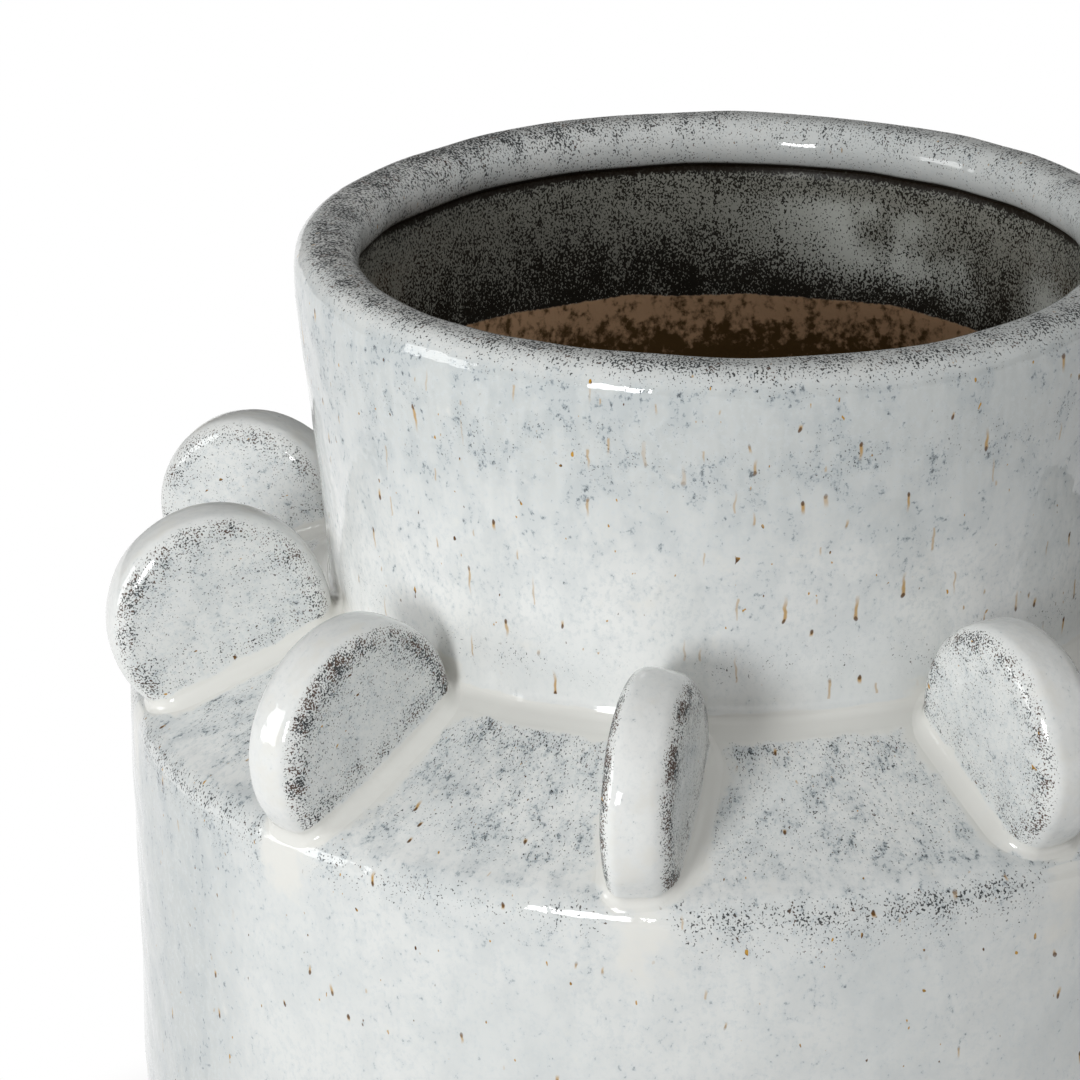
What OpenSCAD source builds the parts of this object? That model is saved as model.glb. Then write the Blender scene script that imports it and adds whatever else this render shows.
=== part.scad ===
// Wide-necked stoneware vase with a ring of upright disc fins standing on its shoulder.
// It is built up from separate clay pieces that are luted together: a floor slab, a body wall,
// a shoulder ring, a neck collar, a rim coil, the fins, and the soft coils pressed along the seams.
// Millimetres, +Z up. The origin is the middle of the base, on the surface that the vase stands on.
// The first fin stands on -Y, and the others follow anticlockwise, seen from above.

/* [Body] */
// Height from the base to the top of the rim
total_h = 330; // [280:1:420]
// Diameter of the body under the shoulder edge
body_d = 286; // [260:1:340]
// How far the side of the body leans in on its way down from the shoulder edge to the floor slab
foot_lean = 1.5; // [-12:0.1:18]
// Thickness of the body wall
body_wall_t = 10; // [7:0.5:14]
// Thickness of the floor slab
floor_t = 13; // [8:0.5:20]
// Radius of the rounded lower edge of the floor slab
foot_round = 5; // [2:0.5:7]
// Concave radius of the coil pressed into the inside corner of the floor
floor_coil_r = 14; // [6:0.5:24]

/* [Shoulder] */
// Slope of the shoulder below the horizontal, in degrees
shoulder_slope = 24; // [12:0.5:32]
// Radius of the rounded shoulder edge
shoulder_round = 7; // [4:0.5:12]
// Upright thickness of the shoulder at the neck
shoulder_t = 11; // [8:0.5:16]

/* [Neck and rim] */
// Diameter of the rim
rim_d = 200; // [192:1:216]
// Width of the rim, from its outside to the lip inside
rim_w = 15; // [13:0.1:24]
// Radius of the rounded edges of the rim
rim_round = 6.4; // [4:0.1:7.9]
// Height of the neck and rim above the crease at the shoulder
neck_h = 83.8; // [70:0.2:120]
// How far the neck leans out on its way up from the crease to the rim
neck_lean = 6.7; // [1:0.1:20]
// Thickness of the neck at the crease
neck_root_t = 9; // [6:0.5:13]
// Thickness of the neck under the rim
neck_top_t = 11; // [9:0.5:14]
// Concave radius of the coil pressed into the crease
neck_coil_r = 6; // [4:0.5:10]

/* [Fins] */
// Number of fins in the ring
fin_count = 10; // [8:1:12]
// Clearance between the root of the neck and the inner end of a fin
fin_gap = 2.4; // [0.4:0.1:6]
// Thickness of a fin
fin_w = 17; // [12:0.2:22]
// Radius of the rounded edges of a fin
fin_round = 4.4; // [2:0.1:5.8]
// How far a fin stands out past the side of the body
fin_reach = 6.4; // [0:0.2:10]
// Height of the middle of a fin above the slope of the shoulder, square to the slope
fin_lift = 9; // [4:0.2:14]
// Concave radius of the coil pressed along both flanks of a fin
fin_coil_r = 7; // [3:0.5:9]
// Angle that each fin stands off its even place, because the ring was set out by hand
fin_drift = [0, 1.3, 1.7, 2, 2.4, 2.8, 3.1, 3.5, 3.3, 0.2]; // [-6:0.1:6]
// Height that each fin was pressed on above or below the others, square to the slope
fin_rise = [-0.2, 4, 0.4, -0.5, 0.7, -0.6, 0.3, -1.5, 3.4, -0.3]; // [-4:0.1:4]
// Angle that each fin is turned about its own upright middle, out of line with the axis of the vase
fin_twist = [5.7, 0, 1.5, -2, 0.5, 2.5, -1, 0, 0, 1]; // [-8:0.1:8]

/* [Hidden] */
$fn = 240;
// Number of straight steps in a rounded edge or a pressed coil
arc_steps = 10;
glaze_colour = "#dfe4e4";
clay_colour = "#b99f8a";

body_r = body_d / 2;
foot_r = body_r - foot_lean;
rim_r = rim_d / 2;
neck_root_r = rim_r - neck_lean;
neck_hole_r = neck_root_r - neck_root_t;
lip_r = rim_r - rim_w;

// Heights of the seams
crease_z = total_h - neck_h;
neck_top_z = total_h - 2 * rim_round;

// The rounded shoulder edge touches the slope and the body wall
edge_c_r = body_r - shoulder_round;
edge_c_z = slope_z(edge_c_r) - shoulder_round / cos(shoulder_slope);
body_top_z = edge_c_z;
edge_arc = arc([edge_c_r, edge_c_z], shoulder_round, 0, 90 - shoulder_slope);

// Directions of the neck and of the body wall in the profile, upwards, in degrees from +X
neck_rise = atan2(neck_top_z - crease_z, rim_r - neck_root_r);
wall_rise = atan2(body_top_z - floor_t, body_r - foot_r);

// Corners that the pressed coils fill
crease = [neck_root_r, crease_z];
floor_corner = [foot_r - body_wall_t, floor_t];

// A fin's disc spans the shoulder, from its clearance at the neck to its reach past the body
fin_d = body_r + fin_reach - neck_root_r - fin_gap;
fin_r = fin_d / 2;
// Radius at which the middle of a fin stands
fin_c_r = body_r + fin_reach - fin_r;
// Depth of a flank coil below the slope before the shoulder trims it
seam_sink = 4;

VESSEL_NODES = [
    "floor_slab", "floor_seam_coil", "body_wall", "shoulder_ring",
    "neck_collar", "neck_seam_coil", "rim_coil"
];
FIN_NODES = [for (i = [1 : fin_count]) str("fin_", two_digits(i))];
SEAM_NODES = [for (i = [1 : fin_count]) str("fin_seam_", two_digits(i))];

function two_digits(n) = n < 10 ? str("0", n) : str(n);

// Height of the shoulder's slope at a radius
function slope_z(r) = crease_z - (r - neck_root_r) * tan(shoulder_slope);

// Height of the middle of a fin above the slope, square to it, and its height in the vase
function fin_lift_at(i) = fin_lift + fin_rise[i % len(fin_rise)];
function fin_c_z(i) = slope_z(fin_c_r) + fin_lift_at(i) / cos(shoulder_slope);

// Half the length of a fin's flat flank along the slope
function flank_half(i) = sqrt(pow(fin_r - fin_round, 2) - pow(fin_lift_at(i), 2));

// Direction of a fin, in degrees from -Y, anticlockwise seen from above
function fin_angle(i) = i * 360 / fin_count + fin_drift[i % len(fin_drift)];

// Points along an arc, from one angle to another
function arc(centre, r, from, to) = [
    for (step = [0 : arc_steps])
        let (angle = from + (to - from) * step / arc_steps)
            centre + r * [cos(angle), sin(angle)]
];

// Concave arc in a corner, touching the sides that leave it at two angles, low angle first
function corner_arc(corner, low, high, r) =
    let (throw = r / sin((high - low) / 2))
        let (bisector = (low + high) / 2)
            arc(corner + throw * [cos(bisector), sin(bisector)], r, low + 270, high + 90);

// Everything inside the outer surface of body, shoulder, neck and crease coil
module vessel_mass() {
    rotate_extrude()
        polygon(concat(
            [[0, floor_t], [foot_r, floor_t]],
            edge_arc,
            corner_arc(crease, -shoulder_slope, neck_rise, neck_coil_r),
            [[rim_r, neck_top_z], [0, neck_top_z]]
        ));
}

// Round slab under the body, with a rounded lower edge
module floor_slab() {
    color(clay_colour)
        rotate_extrude() {
            translate([0, foot_round]) square([foot_r, floor_t - foot_round]);
            square([foot_r - foot_round, floor_t]);
            translate([foot_r - foot_round, foot_round]) circle(r = foot_round);
        }
}

// Soft coil pressed into the inside corner between floor and wall
module floor_seam_coil() {
    color(clay_colour)
        rotate_extrude()
            polygon(concat([floor_corner], corner_arc(floor_corner, wall_rise, 180, floor_coil_r)));
}

// Nearly straight wall from the floor slab up to the shoulder
module body_wall() {
    color(glaze_colour)
        rotate_extrude()
            polygon([
                floor_corner,
                [foot_r, floor_t],
                [body_r, body_top_z],
                [body_r - body_wall_t, body_top_z]
            ]);
}

// Sloping ring that closes the body in to the neck, with a flat landing for the neck
module shoulder_ring() {
    color(glaze_colour)
        rotate_extrude()
            polygon(concat(
                [[body_r - body_wall_t, body_top_z]],
                edge_arc,
                [crease, [neck_hole_r, crease_z], [neck_hole_r, crease_z - shoulder_t]]
            ));
}

// Wide collar that flares from the crease up to the rim
module neck_collar() {
    color(glaze_colour)
        rotate_extrude()
            polygon([
                [neck_hole_r, crease_z],
                crease,
                [rim_r, neck_top_z],
                [rim_r - neck_top_t, neck_top_z]
            ]);
}

// Concave coil that fills the crease between neck and shoulder
module neck_seam_coil() {
    color(glaze_colour)
        rotate_extrude()
            polygon(concat([crease], corner_arc(crease, -shoulder_slope, neck_rise, neck_coil_r)));
}

// Rounded coil on top of the neck, whose lip overhangs the neck inside
module rim_coil() {
    color(glaze_colour)
        rotate_extrude() {
            translate([lip_r + rim_round, neck_top_z])
                square([rim_w - 2 * rim_round, 2 * rim_round]);
            translate([rim_r - rim_round, neck_top_z]) square([rim_round, rim_round]);
            for (r = [lip_r + rim_round, rim_r - rim_round])
                translate([r, neck_top_z + rim_round]) circle(r = rim_round);
        }
}

// Moves a piece from the middle of a fin, with +X outwards, to its place in the ring
module at_fin(i) {
    rotate([0, 0, fin_angle(i) - 90])
        translate([fin_c_r, 0, fin_c_z(i)])
            rotate([0, 0, -fin_twist[i % len(fin_twist)]])
                children();
}

// Whole disc with rounded edges, standing on its rim along X
module fin_disc() {
    rotate([90, 0, 0])
        rotate_extrude() {
            translate([0, -fin_w / 2]) square([fin_r - fin_round, fin_w]);
            translate([0, fin_round - fin_w / 2]) square([fin_r, fin_w - 2 * fin_round]);
            for (side = [-1, 1])
                translate([fin_r - fin_round, side * (fin_w / 2 - fin_round)]) circle(r = fin_round);
        }
}

// Strip of soft clay along one flank of a fin, before the shoulder trims its underside
module flank_strip(i) {
    rotate([0, shoulder_slope, 0])
        translate([-flank_half(i), 0, -fin_lift_at(i)])
            rotate([90, 0, 90])
                linear_extrude(2 * flank_half(i))
                    difference() {
                        translate([fin_w / 2, -seam_sink]) square([fin_coil_r, fin_coil_r + seam_sink]);
                        translate([fin_w / 2 + fin_coil_r, fin_coil_r]) circle(r = fin_coil_r);
                    }
}

// Disc fin, cut to sit on the shoulder and against the root of the neck
module fin(i) {
    color(glaze_colour)
        difference() {
            at_fin(i) fin_disc();
            vessel_mass();
        }
}

// Pair of soft coils that lute one fin to the shoulder
module fin_seam(i) {
    color(glaze_colour)
        difference() {
            at_fin(i) {
                flank_strip(i);
                mirror([0, 1, 0]) flank_strip(i);
            }
            vessel_mass();
        }
}

floor_slab();
floor_seam_coil();
body_wall();
shoulder_ring();
neck_collar();
neck_seam_coil();
rim_coil();
for (i = [0 : fin_count - 1]) {
    fin(i);
    fin_seam(i);
}
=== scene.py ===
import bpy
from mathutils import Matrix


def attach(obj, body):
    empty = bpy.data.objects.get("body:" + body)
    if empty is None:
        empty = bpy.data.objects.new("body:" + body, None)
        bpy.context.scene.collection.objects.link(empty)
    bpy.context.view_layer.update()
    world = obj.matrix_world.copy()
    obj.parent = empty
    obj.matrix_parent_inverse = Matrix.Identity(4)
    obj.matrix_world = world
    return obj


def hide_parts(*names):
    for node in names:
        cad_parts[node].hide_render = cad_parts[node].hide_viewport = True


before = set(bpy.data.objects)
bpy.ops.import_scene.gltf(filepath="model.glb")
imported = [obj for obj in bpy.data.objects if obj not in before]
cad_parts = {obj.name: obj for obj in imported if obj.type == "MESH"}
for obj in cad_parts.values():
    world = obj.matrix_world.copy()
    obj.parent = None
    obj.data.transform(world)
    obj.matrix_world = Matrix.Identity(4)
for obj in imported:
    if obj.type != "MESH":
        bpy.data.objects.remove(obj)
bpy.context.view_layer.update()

import math

import bpy
import numpy as np
from mathutils import Matrix, Vector

mm = 0.001  # all shapes below are worked out in millimetres


# Vectors of length one, without a division by zero
def unit(vectors, least=1e-12):
    return vectors / (np.linalg.norm(vectors, axis=-1, keepdims=True) + least)


def addObject(name, data):
    thing = bpy.data.objects.new(name, data)
    bpy.context.scene.collection.objects.link(thing)
    return thing


# Camera at the photograph's viewing angle
photoCamera = {
    "lens": 150.0, "sensor": 36.0, "clip": (0.05, 50),
    "pitch": 21.94,  # degrees downwards
    "roll": -0.53,
    "distance": 1049.96,  # to the middle of the rim's top
    "rimPixel": (723.2, 227.71),
    "imageSide": 1080,
    "turn": 8.7,  # degrees about the vase's axis
}


def makeCamera(s):
    focal = s["lens"] / s["sensor"] * s["imageSide"]
    pitch, roll, turn = (math.radians(s[k]) for k in ("pitch", "roll", "turn"))
    axes = Matrix.Rotation(turn, 3, "Z") @ Matrix.Rotation(math.pi / 2 - pitch, 3, "X")
    axes = axes @ Matrix.Rotation(roll, 3, "Z")
    half = s["imageSide"] / 2
    ray = Vector(((s["rimPixel"][0] - half) / focal, (half - s["rimPixel"][1]) / focal, -1))
    place = Vector((0, 0, vase["totalH"])) - axes @ ray.normalized() * s["distance"]
    data = bpy.data.cameras.new("photoCamera")
    data.lens = s["lens"]
    data.sensor_width = s["sensor"]
    data.sensor_fit = "HORIZONTAL"
    data.clip_start, data.clip_end = s["clip"]
    camera = addObject("photoCamera", data)
    camera.matrix_world = Matrix.Translation(place * mm) @ axes.to_4x4()
    bpy.context.scene.camera = camera
    print("camera at", np.round(place * mm, 4))


# Sizes of the vessel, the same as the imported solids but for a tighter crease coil
vase = {
    "totalH": 330.0, "bodyR": 143.0, "footR": 141.5, "wallT": 10.0,
    "floorT": 13.0, "footRound": 5.0, "floorCoilR": 14.0,
    "slope": 24.0, "edgeRound": 7.0, "shoulderT": 11.0,
    "rimR": 100.0, "rimW": 15.0, "rimRound": 6.4,
    "creaseR": 93.3, "creaseZ": 246.2, "neckHoleR": 84.3, "neckTopT": 11.0, "creaseCoilR": 4.4,
    "segments": 720,
}
neckTopZ = vase["totalH"] - 2 * vase["rimRound"]
slopeAngle = math.radians(vase["slope"])
neckAngle = math.atan2(neckTopZ - vase["creaseZ"], vase["rimR"] - vase["creaseR"])


def slopeZ(r):
    return vase["creaseZ"] - (r - vase["creaseR"]) * math.tan(slopeAngle)


edgeC = np.array((vase["bodyR"] - vase["edgeRound"], 0.0))
edgeC[1] = slopeZ(edgeC[0]) - vase["edgeRound"] / math.cos(slopeAngle)
coilThrow = vase["creaseCoilR"] / math.sin((neckAngle + slopeAngle) / 2)
coilTurn = (neckAngle - slopeAngle) / 2
coilC = np.array((vase["creaseR"], vase["creaseZ"]))
coilC += coilThrow * np.array((math.cos(coilTurn), math.sin(coilTurn)))


def arcPoints(centre, radius, start, end, step=5):
    count = max(3, int(abs(end - start) / step) + 1)
    a = np.radians(np.linspace(start, end, count))
    return np.stack((centre[0] + radius * np.cos(a), centre[1] + radius * np.sin(a)), 1)


def linePoints(start, end, step=2.0):
    start, end = np.array(start, float), np.array(end, float)
    count = max(2, int(np.linalg.norm(end - start) / step) + 2)
    return start + (end - start) * np.linspace(0, 1, count)[:, None]


# Outline of the whole vessel, from the middle of the base over the rim to the middle of the floor
def makeOutline(v):
    topZ = edgeC[1]
    footC = (v["footR"] - v["footRound"], v["footRound"])
    innerR = v["bodyR"] - v["wallT"]
    wallFootR = v["footR"] - v["wallT"]
    wallLean = math.atan2(topZ - v["floorT"], v["bodyR"] - v["footR"])
    floorHalf = (math.pi - wallLean) / 2
    floorC = np.array((wallFootR, v["floorT"]))
    floorC += v["floorCoilR"] / math.sin(floorHalf) * np.array(
        (math.cos(wallLean + floorHalf), math.sin(wallLean + floorHalf)))
    floorArc = arcPoints(floorC, v["floorCoilR"], math.degrees(wallLean) - 90, -90, 6)
    slopeDeg, neckDeg = v["slope"], math.degrees(neckAngle)
    edge = arcPoints(edgeC, v["edgeRound"], 0, 90 - slopeDeg, 4)
    coil = arcPoints(coilC, v["creaseCoilR"], 270 - slopeDeg, 90 + neckDeg, 4)
    rimC = np.array((v["rimR"] - v["rimRound"], v["totalH"] - v["rimRound"]))
    lipC = np.array((v["rimR"] - v["rimW"] + v["rimRound"], rimC[1]))
    neckInTop = (v["rimR"] - v["neckTopT"], neckTopZ - 0.8)
    holeR, landZ = v["neckHoleR"], v["creaseZ"]
    underZ = landZ - v["shoulderT"]
    lipEnd, lipTail = 245, lipC + v["rimRound"] * np.array((-0.30, -0.954))
    holeRound = 3.0
    holeC = (holeR + holeRound, underZ + holeRound - 0.5)
    underStart, underEnd = (holeR + 6, underZ - 2), (innerR - 5, topZ + 1.2)
    cornerStart, cornerEnd = (innerR - 2, topZ + 0.1), (innerR - 0.4, topZ - 0.9)
    return {
        "slabUnder": [linePoints((0, 0), (footC[0], 0), 6),
                      arcPoints(footC, v["footRound"], -90, 0, 9),
                      linePoints((v["footR"], v["footRound"]), (v["footR"], v["floorT"]), 2)],
        "bodyOut": [linePoints((v["footR"], v["floorT"]), (v["bodyR"], topZ), 2)],
        "shoulderOut": [edge, linePoints(edge[-1], coil[0], 1.5)],
        "coilOut": [coil],
        "neckOut": [linePoints(coil[-1], (v["rimR"], neckTopZ), 1.8)],
        "rimOut": [linePoints((v["rimR"], neckTopZ), (v["rimR"], rimC[1]), 1.5),
                   arcPoints(rimC, v["rimRound"], 0, 90, 5),
                   arcPoints(lipC, v["rimRound"], 90, lipEnd, 5),
                   linePoints(lipTail, neckInTop, 1)],
        "neckIn": [linePoints(neckInTop, (holeR, landZ), 2)],
        "shoulderIn": [linePoints((holeR, landZ), (holeR, underZ + holeRound), 2),
                       arcPoints(holeC, holeRound, 180, 252, 12),
                       linePoints(underStart, underEnd, 3),
                       linePoints(cornerStart, cornerEnd, 1)],
        "bodyIn": [linePoints(cornerEnd, floorArc[0], 8)],
        "floorCoilIn": [floorArc],
        "slabTop": [linePoints(floorArc[-1], (0, v["floorT"]), 6)],
    }


outlineRows, spanRows = [], {}
leastGap = 0.05
for chainName, chainParts in makeOutline(vase).items():
    first = max(0, len(outlineRows) - 1)
    for part in chainParts:
        for p in part:
            if not outlineRows or np.linalg.norm(p - outlineRows[-1]) > leastGap:
                outlineRows.append(p)
    spanRows[chainName] = np.arange(first, len(outlineRows))
outlineRows = np.array(outlineRows)
outlinePath = np.concatenate(([0], np.cumsum(np.linalg.norm(np.diff(outlineRows, axis=0), axis=1))))
print("outline rows", len(outlineRows), list(spanRows))

# Uneven hand-built surface: the same slow and short waves bend every piece alike
handWaves = {
    "seed": 41,
    "slow": {"count": 9, "lengths": (70, 170), "sway": 0.30},
    "short": {"count": 26, "lengths": (14, 34), "sway": 0.05},
    "still": (0, 45),  # the foot stays flat
    "tilt": {  # the shoulder stands higher at the right
        "low": -0.9, "gain": 2.4, "across": (-80.0, 70.0), "rise": (120, 200), "fall": (262, 310),
    },
}


def makeWaves(s):
    rng = np.random.default_rng(s["seed"])
    waves = []
    for kind in ("slow", "short"):
        k = s[kind]
        for _ in range(k["count"]):
            along = unit(rng.normal(size=3))
            push = k["sway"] * unit(rng.normal(size=3))
            length = rng.uniform(*k["lengths"])
            waves.append((along * 2 * math.pi / length, rng.uniform(0, 2 * math.pi), push))
    return waves


waveList = makeWaves(handWaves)


def rise(ends, x):
    t = np.clip((x - ends[0]) / (ends[1] - ends[0]), 0, 1)
    return t * t * (3 - 2 * t)


def fall(ends, x):
    return 1 - rise(ends, x)


def handBuilt(points):
    moved = np.zeros_like(points)
    for wave, phase, push in waveList:
        moved += np.sin(points @ wave + phase)[..., None] * push
    x, z = points[..., 0], points[..., 2]
    moved *= rise(handWaves["still"], z)[..., None]
    t = handWaves["tilt"]
    shoulder = rise(t["rise"], z) * fall(t["fall"], z)
    moved[..., 2] += shoulder * (t["low"] + t["gain"] * rise(t["across"], x))
    return points + moved


def makeMesh(name, verts, faceGroups, loopNormals, layers):
    mesh = bpy.data.meshes.new(name)
    mesh.vertices.add(len(verts))
    mesh.vertices.foreach_set("co", (verts * mm).astype(np.float32).ravel())
    loops = np.concatenate([g.ravel() for g in faceGroups])
    sizes = np.concatenate([np.full(len(g), g.shape[1]) for g in faceGroups])
    mesh.loops.add(len(loops))
    mesh.loops.foreach_set("vertex_index", loops.astype(np.int32))
    mesh.polygons.add(len(sizes))
    starts = np.concatenate(([0], np.cumsum(sizes)[:-1]))
    mesh.polygons.foreach_set("loop_start", starts.astype(np.int32))
    mesh.polygons.foreach_set("use_smooth", np.ones(len(sizes), bool))
    mesh.update(calc_edges=True)
    mesh.normals_split_custom_set(loopNormals.astype(np.float32))
    for layerName, values in zip(("glazeMap", "toneMap", "flow"), layers):
        field = "color" if values.shape[1] == 4 else "vector"
        layer = mesh.attributes.new(layerName, "FLOAT_" + field.upper(), "POINT")
        layer.data.foreach_set(field, values.astype(np.float32).ravel())
    return addObject(name, mesh)


# Signed distance to the outside of body, shoulder, crease and neck
def vesselDistance(r, z):
    v = vase
    dr, dz = r - v["creaseR"], z - v["creaseZ"]
    slope = dr * math.sin(slopeAngle) + dz * math.cos(slopeAngle)
    neck = dr * math.sin(neckAngle) - dz * math.cos(neckAngle)
    lean = math.atan2(v["bodyR"] - v["footR"], edgeC[1] - v["floorT"])
    body = (r - v["bodyR"]) * math.cos(lean) - (z - edgeC[1]) * math.sin(lean)
    er, ez = r - edgeC[0], z - edgeC[1]
    turn = np.arctan2(ez, er)
    atEdge = (turn > -lean) & (turn < math.pi / 2 - slopeAngle)
    shoulder = np.where(atEdge, np.hypot(er, ez) - v["edgeRound"], np.maximum(slope, body))
    cr, cz = r - coilC[0], z - coilC[1]
    turn = np.arctan2(cz, cr) % (2 * math.pi)
    inCoil = (turn > math.pi / 2 + neckAngle) & (turn < 1.5 * math.pi - slopeAngle)
    return np.where(inCoil, v["creaseCoilR"] - np.hypot(cr, cz), np.minimum(shoulder, neck))


def fieldSlope(field, p, h=0.15):
    out = np.empty_like(p)
    for k in range(3):
        d = np.zeros(3)
        d[k] = h
        out[..., k] = (field(p + d) - field(p - d)) / (2 * h)
    return out


# Quads around every cell that the field's zero passes through
def netSurface(field, low, high, step):
    axes = [np.arange(l, h + step, step) for l, h in zip(low, high)]
    grid = np.stack(np.meshgrid(*axes, indexing="ij"), -1)
    f = field(grid)
    inside = f < 0
    shape = np.array(f.shape) - 1
    total = np.zeros(shape)
    place = np.zeros((*shape, 3))
    halves = (slice(0, -1), slice(1, None))
    for k in range(3):
        turn = (k, (k + 1) % 3, (k + 2) % 3)
        fa, fb = (f.transpose(turn)[half] for half in halves)
        start, end = (grid.transpose(*turn, 3)[half] for half in halves)
        cross = (fa < 0) != (fb < 0)
        t = np.where(cross, fa / np.where(cross, fa - fb, 1), 0)
        at = np.where(cross[..., None], start + t[..., None] * (end - start), 0)
        for u in halves:
            for w in halves:
                total.transpose(turn)[...] += cross[:, u, w]
                place.transpose(*turn, 3)[...] += at[:, u, w]
    active = total > 0
    number = np.full(shape, -1)
    number[active] = np.arange(active.sum())
    verts = place[active] / total[active][:, None]
    quads = []
    for k in range(3):
        u, w = (k + 1) % 3, (k + 2) % 3
        lo = [slice(1, -1)] * 3
        hi = [slice(1, -1)] * 3
        lo[k], hi[k] = slice(0, -1), slice(1, None)
        a, b = inside[tuple(lo)], inside[tuple(hi)]
        at = np.argwhere(a != b)
        flip = a[a != b]
        at[:, u] += 1
        at[:, w] += 1
        ring = []
        for du, dw in ((-1, -1), (0, -1), (0, 0), (-1, 0)):
            c = at.copy()
            c[:, u] += du
            c[:, w] += dw
            ring.append(number[c[:, 0], c[:, 1], c[:, 2]])
        q = np.stack(ring, 1)
        q[~flip] = q[~flip][:, ::-1]
        quads.append(q)
    return verts, np.concatenate(quads)


def turnNormals(points, normals):
    side = unit(np.cross(normals, np.where(np.abs(normals[:, 2:]) < 0.9, (0, 0, 1.0), (1.0, 0, 0))))
    other = np.cross(normals, side)
    h = 0.3
    du = handBuilt(points + h * side) - handBuilt(points - h * side)
    dv = handBuilt(points + h * other) - handBuilt(points - h * other)
    return unit(np.cross(du, dv))


def finTurn(angle):
    a = math.radians(angle)
    return np.array(((math.sin(a), math.cos(a), 0), (-math.cos(a), math.sin(a), 0), (0, 0, 1)))


# Fins: thick soft discs on edge, each pressed on a little differently
fin = {
    "angles": (0, 37.3, 73.7, 110, 146.4, 182.8, 219.1, 255.5, 291.3, 324.2),  # from -Y towards +X
    "rises": (-0.2, 4.0, 0.4, -0.5, 0.7, -0.6, 0.3, -1.5, 3.4, -0.3),
    "twists": (5.7, 0, 1.5, -2.0, 0.5, 2.5, -1.0, 0, 0, 1.0),
    "grows": (-0.9, -0.8, 0.2, -0.4, 0.5, 0.1, -0.3, -0.4, -0.4, 0.1),
    "crowns": (1.2, 1.2, 1.4, 1.4, 1.4, 1.4, 1.4, 1.2, 1.2, 1.0),  # swell of the band round the edge
    "crests": (4.2, 0, -0.6, 0.8, 0, -0.5, 0.4, 0, 0, 0),  # where the band is highest
    "grains": (1.0, 0.76, 0.8, 0.7, 0.8, 0.7, 0.8, 0.54, 0.66, 0.92),  # how grainy the edge's glaze is
    "radius": 26.85, "width": 16.4, "edge": 4.2, "dome": 0.6,
    "middleR": 122.55, "lift": 9.0,
    "fillet": 4.2, "neckFillet": (3.6, 0.9), "endFillet": 2.4,
    "upNeck": (5, 15), "fromNeck": (96, 106), "toEnd": (130, 146),  # where the fillet changes
    "skirt": 0.7, "sink": 0.14, "sinkFade": (-1.2, 0.4), "depth": 2.0,
    "step": 0.8, "margin": 2.0, "topMargin": 3.0, "settles": 3, "pull": 0.5, "leastSlope": 0.2,
}


def finShape(number):
    lift = fin["lift"] + fin["rises"][number]
    return {
        "radius": fin["radius"] + fin["grows"][number],
        "middleZ": slopeZ(fin["middleR"]) + lift / math.cos(slopeAngle),
        "turn": finTurn(fin["angles"][number]),
        "twist": math.radians(fin["twists"][number]),
        **{name: fin[name + "s"][number] for name in ("crown", "crest", "grain")},
    }


# Distance from the middle line of a fin, and across it, past the flat parts
def finEdges(shape, x, y, z):
    half = fin["width"] / 2
    out = x - fin["middleR"]
    along = out * math.cos(shape["twist"]) - y * math.sin(shape["twist"])
    across = y * math.cos(shape["twist"]) + out * math.sin(shape["twist"])
    away = np.hypot(along, z - shape["middleZ"])
    rho = away + shape["crown"] * ((across + shape["crest"]) / half) ** 2
    side = np.abs(across) + fin["dome"] * (away / shape["radius"]) ** 2
    return rho - (shape["radius"] - fin["edge"]), side - (half - fin["edge"])


def finDistance(shape, x, y, z):
    qr, qy = finEdges(shape, x, y, z)
    out = np.hypot(np.maximum(qr, 0), np.maximum(qy, 0))
    return out + np.minimum(np.maximum(qr, qy), 0) - fin["edge"]


def finSkin(shape, p):
    x, y, z = np.moveaxis(p, -1, 0)
    a = vesselDistance(np.hypot(x, y), z)
    b = finDistance(shape, x, y, z)
    low, high = fin["neckFillet"]
    atNeck = low + (high - low) * rise(fin["upNeck"], z - vase["creaseZ"])
    r = atNeck + (fin["fillet"] - atNeck) * rise(fin["fromNeck"], x)
    r = r + (fin["endFillet"] - fin["fillet"]) * rise(fin["toEnd"], x)
    a = a + fin["sink"] * rise(fin["sinkFade"], b - r)
    joined = np.maximum(r, np.minimum(a, b)) - np.hypot(np.maximum(r - a, 0), np.maximum(r - b, 0))
    return joined, a, b, r


def finField(shape, p):
    joined, a, b, r = finSkin(shape, p)
    return np.maximum(np.maximum(joined, -(a + fin["depth"])), b - r - fin["skirt"])


def makeFinMesh(shape):
    f = fin
    border = f["fillet"] + f["skirt"] + f["margin"]
    reach = shape["radius"] + border
    wide = f["width"] / 2 + border + reach * abs(math.sin(shape["twist"]))
    low = (f["middleR"] - reach, -wide, shape["middleZ"] - reach)
    high = (f["middleR"] + reach, wide, shape["middleZ"] + shape["radius"] + f["topMargin"])
    verts, quads = netSurface(lambda p: finField(shape, p), low, high, f["step"])
    for _ in range(f["settles"]):
        joined, a, b, r = finSkin(shape, verts)
        free = (a + f["depth"] > f["step"]) & (b - r - f["skirt"] < -f["step"])
        slope = fieldSlope(lambda p: finSkin(shape, p)[0], verts)
        move = -joined[:, None] * slope / np.maximum((slope ** 2).sum(1), f["leastSlope"])[:, None]
        verts += np.clip(move, -f["pull"], f["pull"]) * free[:, None]
    return verts, quads, unit(fieldSlope(lambda p: finField(shape, p), verts, h=0.2))


finShapes = [finShape(number) for number in range(len(fin["angles"]))]

# Ring pieces cut from the one outline, so the glaze runs over every seam
segCount = vase["segments"]
segAngle = np.arange(segCount) * 2 * math.pi / segCount


def spun(rows):
    rows = np.asarray(rows, float)
    return np.stack((
        rows[:, :1] * np.cos(segAngle),
        rows[:, :1] * np.sin(segAngle),
        np.repeat(rows[:, 1:], segCount, 1),
    ), -1)


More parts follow.
